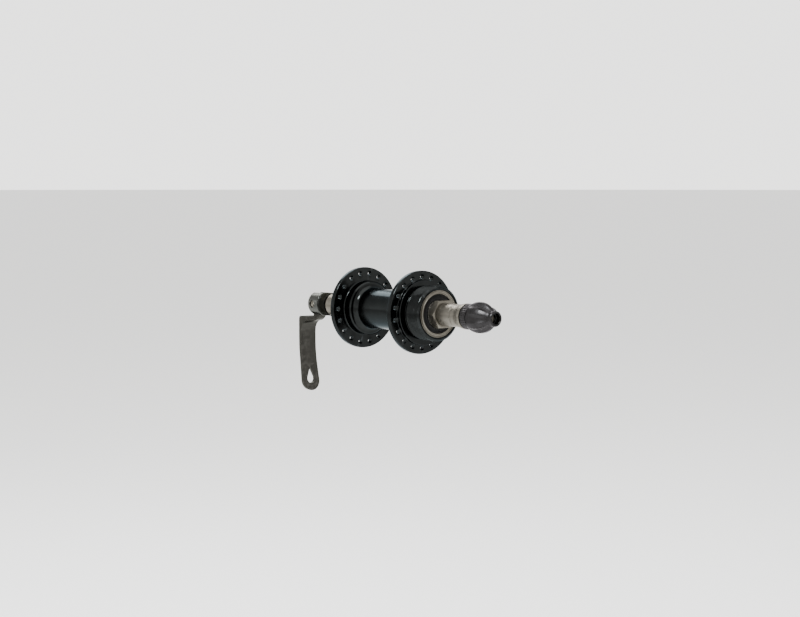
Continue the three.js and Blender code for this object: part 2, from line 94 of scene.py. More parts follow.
def mesh_object(name, verts, faces, smooth_angle=32):
    """A closed mesh from points in mm, with outward faces and sharp edges above smooth_angle."""
    mesh = bpy.data.meshes.new(name)
    mesh.from_pydata([(x * MM, y * MM, z * MM) for x, y, z in verts], [], faces)
    work = bmesh.new()
    work.from_mesh(mesh)
    bmesh.ops.remove_doubles(work, verts=work.verts, dist=1e-7)
    bmesh.ops.recalc_face_normals(work, faces=work.faces)
    work.to_mesh(mesh)
    work.free()
    obj = bpy.data.objects.new(name, mesh)
    bpy.context.collection.objects.link(obj)
    shade(obj, smooth_angle)
    return obj


def shade(obj, smooth_angle=32):
    mesh = obj.data
    mesh.polygons.foreach_set("use_smooth", [True] * len(mesh.polygons))
    mesh.set_sharp_from_angle(angle=math.radians(smooth_angle))
    mesh.update()


def rounded(corners, steps=4):
    """A closed outline whose corners (r, y, size) are rounded over that distance along both edges."""
    points = []
    for i, corner in enumerate(corners):
        here = Vector(corner[:2])
        size = corner[2] if len(corner) > 2 else 0
        if size == 0:
            points.append(tuple(here))
            continue
        before = (Vector(corners[i - 1][:2]) - here).normalized()
        after = (Vector(corners[(i + 1) % len(corners)][:2]) - here).normalized()
        start, end = here + before * size, here + after * size
        for k in range(steps + 1):
            t = k / steps
            points.append(tuple(start * (1 - t) ** 2 + here * 2 * t * (1 - t) + end * t ** 2))
    return points


def arc(centre_r, centre_y, radius, start, end, steps):
    angles = [math.radians(start + (end - start) * i / steps) for i in range(steps + 1)]
    return [(centre_r + radius * math.cos(a), centre_y + radius * math.sin(a)) for a in angles]


def rows(radius, start, end, step):
    """Points along Y at one radius, about step apart, for a thread or a knurl to be pressed into."""
    count = max(2, round(abs(end - start) / step))
    return [(radius, start + (end - start) * i / count) for i in range(count + 1)]


def turned(name, outline, sides=96, shape=None):
    """Turns a closed outline of (r, y) about Y. shape(r, y, angle) may move each point."""
    verts, faces = [], []
    count = len(outline)
    for i in range(sides):
        angle = TAU * i / sides
        for r, y in outline:
            if shape:
                r, y = shape(r, y, angle)
            verts.append((r * math.sin(angle), y, r * math.cos(angle)))
    for i in range(sides):
        for j in range(count):
            k = (j + 1) % count
            n = (i + 1) % sides
            faces.append((i * count + j, n * count + j, n * count + k, i * count + k))
    return mesh_object(name, verts, faces)


def thread(major, depth, pitch, start, end):
    """A right-handed V thread pressed into the rows at the major radius between start and end."""
    def shape(r, y, angle):
        if abs(r - major) > 1e-6 or not start <= y <= end:
            return r, y
        phase = (y / pitch - angle / TAU) % 1
        groove = min(1, max(0, 1.25 - abs(2 * phase - 1) * 1.5))
        fade = min(1, (y - start) / pitch, (end - y) / pitch)
        return r - depth * groove * fade, y
    return shape


def serration(face_y, inner_r, depth, teeth):
    """Radial teeth cut into a flat end face outside inner_r. depth is signed, into the piece."""
    def shape(r, y, angle):
        if abs(y - face_y) > 0.3 or r < inner_r:
            return r, y
        phase = (angle * teeth / TAU) % 1
        return r, y + depth * abs(2 * phase - 1)
    return shape


def tube(name, path, radius, sides=12):
    """A closed round wire along a list of points."""
    verts, faces = [], []
    up = Vector((0, 1, 0))
    for i, point in enumerate(path):
        ahead = path[min(i + 1, len(path) - 1)] - path[max(i - 1, 0)]
        side = ahead.cross(up).normalized()
        over = side.cross(ahead).normalized()
        for k in range(sides):
            a = TAU * k / sides
            verts.append(tuple(point + side * radius * math.cos(a) + over * radius * math.sin(a)))
    for i in range(len(path) - 1):
        for k in range(sides):
            n = (k + 1) % sides
            faces.append((i * sides + k, i * sides + n, (i + 1) * sides + n, (i + 1) * sides + k))
    faces.append(tuple(range(sides)))
    faces.append(tuple((len(path) - 1) * sides + k for k in range(sides)))
    return mesh_object(name, verts, faces)


def loft(name, sections):
    """A closed skin over sections, which are rings of the same number of points."""
    count = len(sections[0])
    verts = [tuple(point) for section in sections for point in section]
    faces = []
    for i in range(len(sections) - 1):
        for k in range(count):
            n = (k + 1) % count
            faces.append((i * count + k, i * count + n, (i + 1) * count + n, (i + 1) * count + k))
    faces.append(tuple(range(count)))
    faces.append(tuple((len(sections) - 1) * count + k for k in range(count)))
    return mesh_object(name, verts, faces)


def along_x(name, outline, y, z=0.0, sides=64):
    """A piece turned about an axis along X through (y, z). outline is (radius, x)."""
    obj = turned(name, outline, sides)
    for vert in obj.data.vertices:
        x0, y0, z0 = vert.co
        vert.co = (y0, x0 + y * MM, -z0 + z * MM)
    shade(obj)
    return obj


def block(name, x0, x1, y0, y1, z0, z1):
    ring = [(x0, z0), (x1, z0), (x1, z1), (x0, z1)]
    return loft(name, [[(x, y, z) for x, z in ring] for y in (y0, y1)])


def merged(name, objects):
    """One object from several that don't touch."""
    work = bmesh.new()
    for obj in objects:
        work.from_mesh(obj.data)
        bpy.data.objects.remove(obj)
    mesh = bpy.data.meshes.new(name)
    work.to_mesh(mesh)
    work.free()
    obj = bpy.data.objects.new(name, mesh)
    bpy.context.collection.objects.link(obj)
    return obj


def apply_modifiers(obj):
    graph = bpy.context.evaluated_depsgraph_get()
    mesh = bpy.data.meshes.new_from_object(obj.evaluated_get(graph))
    obj.modifiers.clear()
    obj.data = mesh
    shade(obj)


def combine(target, tool, operation):
    """Joins tool to target, or cuts it out, and removes tool."""
    step = target.modifiers.new("combine", "BOOLEAN")
    step.operation = operation
    step.solver = "EXACT"
    step.object = tool
    apply_modifiers(target)
    bpy.data.objects.remove(tool)
    return target


def soften(obj, width, segments=2, angle=40):
    """Rounds the edges that are sharper than angle."""
    step = obj.modifiers.new("soften", "BEVEL")
    step.width = width * MM
    step.segments = segments
    step.limit_method = "ANGLE"
    step.angle_limit = math.radians(angle)
    step.use_clamp_overlap = True
    apply_modifiers(obj)
    return obj


# ------------------------------------------------------------------ materials

def add(tree, kind, **values):
    node = tree.nodes.new(kind)
    for key, value in values.items():
        setattr(node, key, value)
    return node


def noise(tree, coords, scale, detail=3.0):
    node = add(tree, "ShaderNodeTexNoise")
    node.inputs["Scale"].default_value = scale
    node.inputs["Detail"].default_value = detail
    tree.links.new(coords, node.inputs["Vector"])
    return node.outputs["Fac"]


def remap(tree, value, low, high, to_low, to_high):
    node = add(tree, "ShaderNodeMapRange")
    for key, number in (("From Min", low), ("From Max", high), ("To Min", to_low), ("To Max", to_high)):
        node.inputs[key].default_value = number
    tree.links.new(value, node.inputs["Value"])
    return node.outputs["Result"]


def blend_colour(tree, factor, a, b):
    node = add(tree, "ShaderNodeMix", data_type="RGBA")
    for key, colour in ((6, a), (7, b)):
        if isinstance(colour, tuple):
            node.inputs[key].default_value = (*colour, 1)
        else:
            tree.links.new(colour, node.inputs[key])
    tree.links.new(factor, node.inputs[0])
    return node.outputs[2]


def lathe_coords(tree, objects):
    """(distance from the axle, y, 0): noise read here runs in rings, as a lathe's tool marks do."""
    split = add(tree, "ShaderNodeSeparateXYZ")
    tree.links.new(objects, split.inputs[0])
    flat = add(tree, "ShaderNodeCombineXYZ")
    tree.links.new(split.outputs["X"], flat.inputs["X"])
    tree.links.new(split.outputs["Z"], flat.inputs["Y"])
    reach = add(tree, "ShaderNodeVectorMath", operation="LENGTH")
    tree.links.new(flat.outputs[0], reach.inputs[0])
    rings = add(tree, "ShaderNodeCombineXYZ")
    tree.links.new(reach.outputs["Value"], rings.inputs["X"])
    tree.links.new(split.outputs["Y"], rings.inputs["Y"])
    return rings.outputs[0]


MOTTLING_SCALE = 140
SMUDGE_SCALE = 260
WEAR_SCALE = 420


def finish(
    name, dark, light, metallic, rough, grain, bump, lathe=False, wear=None, tint=None, gloss=0.5,
):
    """A procedural finish.

    dark and light are the two ends of the mottling, rough is (smoothest, roughest), grain is the
    scale of the fine texture, bump its height in mm, wear the colour of rubbed edges, tint the colour
    of reflections and gloss their strength.
    """
    material = bpy.data.materials.new(name)
    material.use_nodes = True
    tree = material.node_tree
    shader = tree.nodes["Principled BSDF"]
    objects = add(tree, "ShaderNodeTexCoord").outputs["Object"]
    fine_coords = lathe_coords(tree, objects) if lathe else objects
    mottling = noise(tree, objects, MOTTLING_SCALE, 5)
    fine = noise(tree, fine_coords, grain, 3)
    colour = blend_colour(tree, remap(tree, mottling, 0.3, 0.7, 0, 1), dark, light)
    shade_of_grain = remap(tree, fine, 0.35, 0.75, 0, 0.35)
    colour = blend_colour(tree, shade_of_grain, colour, dark)
    if wear:
        edges = add(tree, "ShaderNodeNewGeometry").outputs["Pointiness"]
        rubbed = remap(tree, edges, 0.53, 0.6, 0, 1)
        patches = remap(tree, noise(tree, objects, WEAR_SCALE, 4), 0.42, 0.62, 0, 0.8)
        both = add(tree, "ShaderNodeMath", operation="MULTIPLY")
        tree.links.new(rubbed, both.inputs[0])
        tree.links.new(patches, both.inputs[1])
        colour = blend_colour(tree, both.outputs[0], colour, wear)
    tree.links.new(colour, shader.inputs["Base Color"])
    smudges = noise(tree, objects, SMUDGE_SCALE, 6)
    roughness = add(tree, "ShaderNodeMath", operation="ADD")
    tree.links.new(remap(tree, smudges, 0.3, 0.7, *rough), roughness.inputs[0])
    tree.links.new(remap(tree, fine, 0.3, 0.7, -0.04, 0.05), roughness.inputs[1])
    tree.links.new(roughness.outputs[0], shader.inputs["Roughness"])
    relief = add(tree, "ShaderNodeBump")
    relief.inputs["Strength"].default_value = 0.6
    relief.inputs["Distance"].default_value = bump * MM
    tree.links.new(fine, relief.inputs["Height"])
    tree.links.new(relief.outputs["Normal"], shader.inputs["Normal"])
    shader.inputs["Metallic"].default_value = metallic
    shader.inputs["Specular IOR Level"].default_value = gloss
    if tint:
        shader.inputs["Specular Tint"].default_value = (*tint, 1)
    return material


MATERIALS = {
    "shell_black": finish(
        "gloss_black_anodise", (0.0102, 0.011, 0.0108), (0.0146, 0.0158, 0.0156),
        metallic=1.0, rough=(0.13, 0.2), grain=2600, bump=0.003,
        wear=(0.03, 0.033, 0.034), tint=(0.58, 0.61, 0.625),
    ),
    "plated_steel": finish(
        "zinc_plate", (0.098, 0.0905, 0.076), (0.128, 0.119, 0.101),
        metallic=1.0, rough=(0.32, 0.44), grain=5200, bump=0.002,
        lathe=True, tint=(0.8, 0.78, 0.75),
    ),
    "satin_steel": finish(
        "satin_turned_steel", (0.1, 0.0932, 0.079), (0.128, 0.119, 0.102),
        metallic=1.0, rough=(0.3, 0.4), grain=6400, bump=0.003,
        lathe=True, tint=(0.8, 0.78, 0.75),
    ),
    "bearing_steel": finish(
        "polished_bearing_steel", (0.5, 0.51, 0.52), (0.6, 0.61, 0.62),
        metallic=1.0, rough=(0.06, 0.14), grain=5200, bump=0.001, lathe=True,
    ),
    "seal_rubber": finish(
        "seal_rubber", (0.0016, 0.0015, 0.0014), (0.004, 0.0037, 0.0034),
        metallic=0.0, rough=(0.6, 0.8), grain=3800, bump=0.01, gloss=0.15,
    ),
    "dark_steel": finish(
        "black_oxide", (0.006, 0.006, 0.0055), (0.011, 0.011, 0.0102),
        metallic=1.0, rough=(0.34, 0.46), grain=4200, bump=0.004,
        wear=(0.03, 0.03, 0.028), tint=(0.5, 0.5, 0.48),
    ),
    "housing_grey": finish(
        "dark_grey_gloss", (0.045, 0.046, 0.043), (0.066, 0.068, 0.064),
        metallic=1.0, rough=(0.2, 0.3), grain=3400, bump=0.003,
        wear=(0.16, 0.16, 0.152), tint=(0.7, 0.7, 0.68),
    ),
    "lever_black": finish(
        "satin_black", (0.025, 0.0243, 0.0215), (0.031, 0.0301, 0.0268),
        metallic=1.0, rough=(0.3, 0.37), grain=3000, bump=0.002,
        wear=(0.05, 0.048, 0.044), tint=(0.7, 0.7, 0.68),
    ),
    "nut_dark": finish(
        "gunmetal", (0.018, 0.0173, 0.0176), (0.027, 0.0259, 0.0264),
        metallic=1.0, rough=(0.29, 0.38), grain=3800, bump=0.003,
        wear=(0.075, 0.073, 0.072), tint=(0.66, 0.65, 0.66),
    ),
    "nylon": finish(
        "black_nylon", (0.006, 0.006, 0.0065), (0.014, 0.014, 0.0145),
        metallic=0.0, rough=(0.45, 0.62), grain=2600, bump=0.006, gloss=0.3,
    ),
}


def stand_for(piece, node):
    """piece takes the place of a CAD node: its body, its material slot and its finish."""
    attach(piece, BODY_OF[node])
    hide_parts(node)
    piece.data.materials.clear()
    piece.data.materials.append(MATERIALS[SLOT_OF[node]])


# ------------------------------------------------------------------ camera, floor and lights

CAMERA_AZIMUTH = math.radians(-39.7)
CAMERA_ELEVATION = math.radians(4.2)
CAMERA_DISTANCE = 1.15
LENS = 80.5
AIM_RIGHT = 0.00116
AIM_UP = 0.00116
FLOOR_Z = -0.34
FLOOR_REACH = 60.0
FLOOR_SIDES = 64
HORIZON_STRENGTH = 2.6
ZENITH_STRENGTH = 1.45


def make_camera():
    a, e = CAMERA_AZIMUTH, CAMERA_ELEVATION
    back = Vector((math.sin(a) * math.cos(e), -math.cos(a) * math.cos(e), math.sin(e)))
    right = Vector((math.cos(a), math.sin(a), 0))
    aim = right * AIM_RIGHT + Vector((0, 0, AIM_UP))
    data = bpy.data.cameras.new("camera")
    data.lens = LENS
    data.sensor_width = 36
    data.clip_start = 0.05
    camera = bpy.data.objects.new("camera", data)
    camera.location = aim + back * CAMERA_DISTANCE
    camera.rotation_mode = "QUATERNION"
    camera.rotation_quaternion = (-back).to_track_quat("-Z", "Y")
    bpy.context.collection.objects.link(camera)
    bpy.context.scene.camera = camera


def make_floor():
    angles = [TAU * i / FLOOR_SIDES for i in range(FLOOR_SIDES)]
    rim = [(FLOOR_REACH * math.cos(a), FLOOR_REACH * math.sin(a), FLOOR_Z) for a in angles]
    mesh = bpy.data.meshes.new("floor")
    mesh.from_pydata(rim, [], [tuple(range(FLOOR_SIDES))])
    floor = bpy.data.objects.new("floor", mesh)
    bpy.context.collection.objects.link(floor)
    material = bpy.data.materials.new("pale_floor")
    material.use_nodes = True
    shader = material.node_tree.nodes["Principled BSDF"]
    shader.inputs["Base Color"].default_value = (0.95, 0.95, 0.945, 1)
    shader.inputs["Roughness"].default_value = 0.9
    mesh.materials.append(material)


def make_light(name, azimuth, elevation, distance, size, power, colour=(1, 1, 1)):
    a, e = math.radians(azimuth), math.radians(elevation)
    back = Vector((math.sin(a) * math.cos(e), -math.cos(a) * math.cos(e), math.sin(e)))
    data = bpy.data.lights.new(name, "AREA")
    data.shape = "RECTANGLE"
    data.size, data.size_y = size
    data.energy = power
    data.color = colour
    light = bpy.data.objects.new(name, data)
    light.location = back * distance
    light.rotation_mode = "QUATERNION"
    light.rotation_quaternion = (-back).to_track_quat("-Z", "Y")
    bpy.context.collection.objects.link(light)


def make_world():
    """A pale studio: brightest round the horizon and dimmer overhead."""
    world = bpy.data.worlds.new("studio")
    world.use_nodes = True
    tree = world.node_tree
    sky = tree.nodes["Background"]
    sky.inputs["Color"].default_value = (1.0, 0.995, 0.98, 1)
    split = add(tree, "ShaderNodeSeparateXYZ")
    tree.links.new(add(tree, "ShaderNodeTexCoord").outputs["Generated"], split.inputs[0])
    strength = remap(tree, split.outputs["Z"], 0.1, 0.5, HORIZON_STRENGTH, ZENITH_STRENGTH)
    tree.links.new(strength, sky.inputs["Strength"])
    bpy.context.scene.world = world


def make_studio():
    make_world()
    make_light(
        "key", azimuth=-75, elevation=50, distance=1.1, size=(0.4, 0.3), power=26, colour=(0.94, 0.98, 1.0),
    )
    make_light("overhead", azimuth=20, elevation=80, distance=2.2, size=(2.4, 2.4), power=55)
    make_light("rim", azimuth=165, elevation=40, distance=1.2, size=(0.6, 0.3), power=7)


# ------------------------------------------------------------------ hub shell

FREEWHEEL_THREAD_DEPTH = 0.55
DRIVE_STEP = 3.6  # from a flange's inner face to the end of the shoulder beside it
LEVER_STEP = 5.6
DRIVE_NECK = 7.6  # from a flange's inner face to the centre of the fillet down to the barrel
LEVER_NECK = 9.4
FLANGE_EDGE = 0.85


def spoke_hole(y0, y1, angle):
    """The cutter for one spoke hole, with a countersink at both faces of the flange."""
    sink = 0.35
    outline = [(0, y0 - 1), (SPOKE_HOLE_R + sink + 1, y0 - 1), (SPOKE_HOLE_R, y0 + sink),
               (SPOKE_HOLE_R, y1 - sink), (SPOKE_HOLE_R + sink + 1, y1 + 1), (0, y1 + 1)]
    cutter = turned("spoke_hole", outline, 20)
    shift = Vector((SPOKE_CIRCLE_R * math.sin(angle), 0, SPOKE_CIRCLE_R * math.cos(angle))) * MM
    for vert in cutter.data.vertices:
        vert.co += shift
    return cutter


def make_shell():
    end_y, lever_end_y, flange_r = span("hub_shell")
    seat_y = MOUNT_Y["freewheel_seat"]
    drive_out = MOUNT_Y["drive_flange_face"]
    drive_in = drive_out + FLANGE_THICKNESS
    lever_out = MOUNT_Y["lever_side_flange_face"]
    lever_in = lever_out - FLANGE_THICKNESS
    thread_start, thread_end = end_y + 0.9, seat_y - 2.4
    fillet_r = SHOULDER_R - 1 - BARREL_R
    outline = rounded([(CUP_SEAT_R, end_y, 0.25), (BOSS_R - 0.7, end_y, 0.25)])
    outline += rows(BOSS_R, thread_start, thread_end, FREEWHEEL_PITCH / 7)
    outline += rounded([
        (RELIEF_R, thread_end + 0.7, 0.3), (RELIEF_R, seat_y, 0.4), (SEAT_R, seat_y, 0.5),
        (SEAT_R, drive_out, 0.4), (flange_r, drive_out, FLANGE_EDGE),
        (flange_r, drive_in, FLANGE_EDGE), (SHOULDER_R, drive_in, 0.9),
        (SHOULDER_R, drive_in + DRIVE_STEP, 0.7),
    ])
    outline += arc(SHOULDER_R - 1, drive_in + DRIVE_NECK, fillet_r, 270, 180, 10)
    outline += arc(SHOULDER_R - 1, lever_in - LEVER_NECK, fillet_r, 180, 90, 10)
    outline += rounded([
        (SHOULDER_R, lever_in - LEVER_STEP, 0.5), (SHOULDER_R, lever_in, 0.9),
        (flange_r, lever_in, FLANGE_EDGE), (flange_r, lever_out, FLANGE_EDGE),
        (BOSS_R, lever_out, 0.8), (BOSS_R, lever_end_y, 0.7),
        (CUP_SEAT_R, lever_end_y, 0.3),
    ])
    lever_floor = span("lever_side_cup")[0] - 0.1
    drive_floor = span("drive_cup")[1] + 0.1
    outline += [(CUP_SEAT_R, lever_floor), (SHELL_BORE_R, lever_floor)]
    outline += [(SHELL_BORE_R, drive_floor), (CUP_SEAT_R, drive_floor)]
    freewheel_thread = thread(BOSS_R, FREEWHEEL_THREAD_DEPTH, FREEWHEEL_PITCH, thread_start, thread_end)
    shell = turned("shell", outline, 144, freewheel_thread)
    cutters = []
    for y0, y1, phase in ((drive_out, drive_in, 0), (lever_in, lever_out, 0.5)):
        cutters += [spoke_hole(y0, y1, (i + phase) * TAU / SPOKES) for i in range(SPOKES)]
    combine(shell, merged("spoke_holes", cutters), "DIFFERENCE")
    stand_for(shell, "hub_shell")


# ------------------------------------------------------------------ bearings

def outward(side, outline, ball_y):
    """Turns distances outboard of the ball centres into Y."""
    out = -1 if side == "drive" else 1
    return [(p[0], ball_y + out * p[1], *p[2:]) for p in outline]


def make_bearing(side):
    low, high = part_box(f"{side}_ball_1")
    ball_y = (low[1] + high[1]) / 2 / MM
    cup = [(CUP_SEAT_R - 0.05, -4.4), (CUP_SEAT_R - 0.05, 3.5), (BALL_CIRCLE_R + RACE_R, 3.5)]
    cup += arc(BALL_CIRCLE_R, 0, RACE_R, 0, -60, 10) + [(11.2, -4.4)]
    stand_for(turned(f"{side}_cup_race", outward(side, cup, ball_y)), f"{side}_cup")
    cone = [(THREADED_BORE_R, -3.4), (6.1, -3.4)] + arc(BALL_CIRCLE_R, 0, RACE_R, 180, 120, 10)
    cone += [(8.6, 3.5), (8.6, 4.35), (THREADED_BORE_R, 4.35)]
    stand_for(turned(f"{side}_cone_race", outward(side, cone, ball_y)), f"{side}_cone")
    cap = rounded(outward(side, [
        (12.5, 3.55), (14.95, 3.55), (14.95, 4.75, 0.2), (14.45, 4.75, 0.2), (14.2, 4.35, 0.2),
        (13.2, 4.35, 0.2), (12.95, 4.75, 0.2), (12.5, 4.75, 0.2),
    ], ball_y))
    stand_for(turned(f"{side}_cap_ring", cap, 128), f"{side}_dust_cap")
    seal = rounded(outward(side, [
        (8.65, 3.5), (12.2, 3.5, 0.1), (12.2, 4.3, 0.2), (11.5, 4.3, 0.15), (11.2, 3.95, 0.15),
        (10, 3.95, 0.15), (9.7, 4.3, 0.15), (8.65, 4.3, 0.15),
    ], ball_y))
    stand_for(turned(f"{side}_seal_lip", seal, 128), f"{side}_cone_seal")
    for i in range(1, 10):
        make_ball(f"{side}_ball_{i}")


def make_ball(node):
    low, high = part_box(node)
    centre = (Vector(low) + Vector(high)) / 2
    ball = turned(f"{node}_fine", arc(0, 0, BALL_R - 0.005, -90, 90, 20), 32)
    for vert in ball.data.vertices:
        vert.co += centre
    stand_for(ball, node)


# ------------------------------------------------------------------ axle and its nuts

AXLE_CHAMFER = 0.6
AXLE_THREAD_DEPTH = 0.5
AXLE_THREAD_LENGTH = 14
HEX_CHAMFER = 0.75
LAND_HEIGHT = 0.2
LOCKNUT_TOOTH = 0.22
LOCKNUT_TEETH = 40


def make_axle():
    start, end, radius = span("axle")
    low_start, low_end = start + AXLE_CHAMFER, start + AXLE_THREAD_LENGTH
    high_start, high_end = end - AXLE_THREAD_LENGTH, end - AXLE_CHAMFER
    outline = [(AXLE_BORE_R, start), (radius - AXLE_CHAMFER, start)]
    outline += rows(radius, low_start, low_end, AXLE_PITCH / 6)
    outline += rows(radius, high_start, high_end, AXLE_PITCH / 6)
    outline += [(radius - AXLE_CHAMFER, end), (AXLE_BORE_R, end)]
    low_thread = thread(radius, AXLE_THREAD_DEPTH, AXLE_PITCH, low_start, low_end)
    high_thread = thread(radius, AXLE_THREAD_DEPTH, AXLE_PITCH, high_start, high_end)

    def both_threads(r, y, angle):
        return low_thread(r, y, angle) if y < 0 else high_thread(r, y, angle)

    axle = turned("hollow_axle", outline, 64, both_threads)
    stand_for(axle, "axle")


def make_tube(name, node, size=0.25, sides=96):
    start, end, radius = span(node)
    outline = rounded([
        (THREADED_BORE_R, start, 0.15), (radius, start, size),
        (radius, end, size), (THREADED_BORE_R, end, 0.15),
    ])
    stand_for(turned(name, outline, sides), node)


def make_hex_nut():
    start, end, _ = span("drive_hex_locknut")
    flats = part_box("drive_hex_locknut")[1][2] / MM
    corner = flats / math.cos(math.pi / 6)
    prism = turned("hex", [(0, start - 1), (corner, start - 1), (corner, end + 1), (0, end + 1)], 6)
    for vert in prism.data.vertices:
        x, y, z = vert.co
        vert.co = (z, y, -x)  # a quarter turn about the axle, which puts corners fore and aft
    envelope = turned("hex_envelope", rounded([
        (THREADED_BORE_R, start, 0.3), (flats - 0.1, start, 0.2), (corner, start + HEX_CHAMFER, 0.2),
        (corner, end - HEX_CHAMFER, 0.2), (flats - 0.1, end, 0.2), (THREADED_BORE_R, end, 0.3),
    ]), 96)
    nut = combine(prism, envelope, "INTERSECT")
    stand_for(soften(nut, 0.12, 2, 35), "drive_hex_locknut")


def make_end_locknut(node, land_r, waist_r):
    """A locknut with a waist on its inner side, flaring to a rim with radial teeth round a flat land."""
    start, end, radius = span(node)
    out = 1 if end > 0 else -1
    inner, outer = (start, end) if out > 0 else (end, start)
    length = abs(outer - inner)
    rim = outer - out * LAND_HEIGHT
    outline = rounded([
        (THREADED_BORE_R, inner, 0.15), (waist_r, inner, 0.25),
        (waist_r + 0.05, inner + out * 0.4 * length, 1.5),
        (radius, inner + out * 0.8 * length, 0.8), (radius, rim, 0.15),
    ])
    slope = (outer - rim) / (radius - land_r)
    outline += [(r, rim + (radius - r) * slope) for r in (radius - 0.35, land_r)]
    outline += [(THREADED_BORE_R, outer)]
    teeth = serration(outer, land_r + 0.05, -out * LOCKNUT_TOOTH, LOCKNUT_TEETH)
    stand_for(turned(f"{node}_fine", outline, 160, teeth), node)


# ------------------------------------------------------------------ quick release: nut side

# (radius, distance from the face that bites the dropout): a knurled collar, a bulge and a narrow tip
NUT_PROFILE = [
    (8, 0.3), (8, 5.1), (8.35, 5.5), (8.9, 6.4), (9.35, 7.6), (9.6, 9.2), (9.62, 10.8), (9.5, 12.6),
    (9.1, 14.6), (8.45, 16.6), (7.6, 18.4), (6.6, 20), (5.6, 21.4), (5.05, 22.3), (4.9, 23), (4.88, 24),
]
NUT_BORE_R = 2.85
NUT_POCKET_R = 3.3
NUT_POCKET_START = 16.5
RECESS_DEPTH = 8.4
COLLAR_END = 4.6
COLLAR_RIBS = 36
RIB_DEPTH = 0.28
FACE_RIB_DEPTH = 0.25
FLUTES = 6
FLUTE_START = 7.2
FLUTE_END = 22.6
FLUTE_HALF_WIDTH = 0.62  # as a part of half the distance between two flutes
FLUTE_DEPTH = 1.5


def make_nut():
    end, start, _ = span("quick_release_nut")
    fine = []
    for (r0, s0), (r1, s1) in zip(NUT_PROFILE, NUT_PROFILE[1:]):
        fine += [(r0 + (r1 - r0) * k / 4, s0 + (s1 - s0) * k / 4) for k in range(4)]
    fine.append(NUT_PROFILE[-1])
    outline = [(7.75, start)] + [(r, start - s) for r, s in fine]
    outline += rounded([(NUT_PROFILE[-1][0], end, 0.4), (NUT_POCKET_R, end, 0.35)])
    outline += [(NUT_POCKET_R, start - NUT_POCKET_START), (NUT_BORE_R, start - NUT_POCKET_START)]
    outline += [(NUT_BORE_R, start - RECESS_DEPTH), (RECESS_R, start - RECESS_DEPTH), (RECESS_R, start)]

    def grip(r, y, angle):
        s = start - y
        if r > 7.6 and s < COLLAR_END:
            ridge = abs(2 * ((angle * COLLAR_RIBS / TAU) % 1) - 1)
            return (r - RIB_DEPTH * ridge, y) if 0.6 < s else (r, y - FACE_RIB_DEPTH * ridge)
        if r < 4.95 or not FLUTE_START < s < FLUTE_END:
            return r, y
        across = abs(2 * ((angle * FLUTES / TAU) % 1) - 1)
        scallop = max(0, 1 - (across / FLUTE_HALF_WIDTH) ** 2)
        along = math.sin(math.pi * (s - FLUTE_START) / (FLUTE_END - FLUTE_START)) ** 0.8
        return r - FLUTE_DEPTH * scallop * along, y

    nut = turned("finger_nut", outline, 216, grip)
    stand_for(nut, "quick_release_nut")
    low, high, radius = span("nut_insert")
    insert = rounded([(2.8, low, 0.2), (radius, low, 0.2), (radius, high), (2.8, high)])
    stand_for(turned("lock_insert", insert, 64), "nut_insert")


SPRING_WIRE_R = 0.33
SPRING_TURNS = 2.25
SPRING_NARROW_R = 3.4


def make_spring(node, name):
    """A conical spring of round wire, with its narrow end towards the hub."""
    start, end, radius = span(node)
    narrow, wide = (end, start) if start < 0 else (start, end)
    steps = 90
    inset = math.copysign(SPRING_WIRE_R, wide - narrow)
    path = []
    for i in range(steps + 1):
        t = i / steps
        reach = SPRING_NARROW_R + (radius - SPRING_WIRE_R - SPRING_NARROW_R) * t
        angle = TAU * SPRING_TURNS * t
        y = narrow + inset + (wide - narrow - 2 * inset) * t
        path.append(Vector((reach * math.sin(angle), y, reach * math.cos(angle))))
    stand_for(tube(name, path, SPRING_WIRE_R), node)


# ------------------------------------------------------------------ quick release: rod, cam and lever

BLADE_HALF_X = 1.2
ROD_SHOULDER_Y = 75.8
ROD_THREAD_LENGTH = 26
ROD_THREAD_DEPTH = 0.4
SLOT_HALF_X = 3
SLOT_FLOOR_Y = 77.3
NOTCH_Z = 4.2
ROD_HOLE_R = 2.8
SHAFT_HOLE_R = 2.5
RING_RIBS = 48
RING_RIB_DEPTH = 0.22


def eye_ring(half_y, half_z, half_x, name):
    centre = PIVOT_Y - CAM_THROW
    angles = [TAU * i / 40 for i in range(40)]
    points = [(centre + half_y * math.cos(a), half_z * math.sin(a)) for a in angles]
    return loft(name, [[(x, y, z) for y, z in points] for x in (-half_x, half_x)])


def make_rod():
    end, _, _ = span("skewer_rod")
    thread_start, thread_end = end + 0.5, end + ROD_THREAD_LENGTH
    outline = [(0, end), (ROD_R - 0.5, end)]
    outline += rows(ROD_R, thread_start, thread_end, SKEWER_PITCH / 6)
    outline += [(ROD_R, ROD_SHOULDER_Y - 0.3), (ROD_R - 0.3, ROD_SHOULDER_Y), (0, ROD_SHOULDER_Y)]
    rod_thread = thread(ROD_R, ROD_THREAD_DEPTH, SKEWER_PITCH, thread_start, thread_end)
    rod = turned("skewer_shaft", outline, 48, rod_thread)
    blade = block("blade", -BLADE_HALF_X, BLADE_HALF_X, ROD_SHOULDER_Y - 1, PIVOT_Y - 3, -2.1, 2.1)
    eye = eye_ring(3.45, 3.85, BLADE_HALF_X - 0.02, "eye")
    combine(blade, eye, "UNION")
    combine(blade, eye_ring(1.95, 2.4, 4, "eye_hole"), "DIFFERENCE")
    soften(blade, 0.15, 2, 50)
    combine(rod, blade, "UNION")
    stand_for(rod, "skewer_rod")


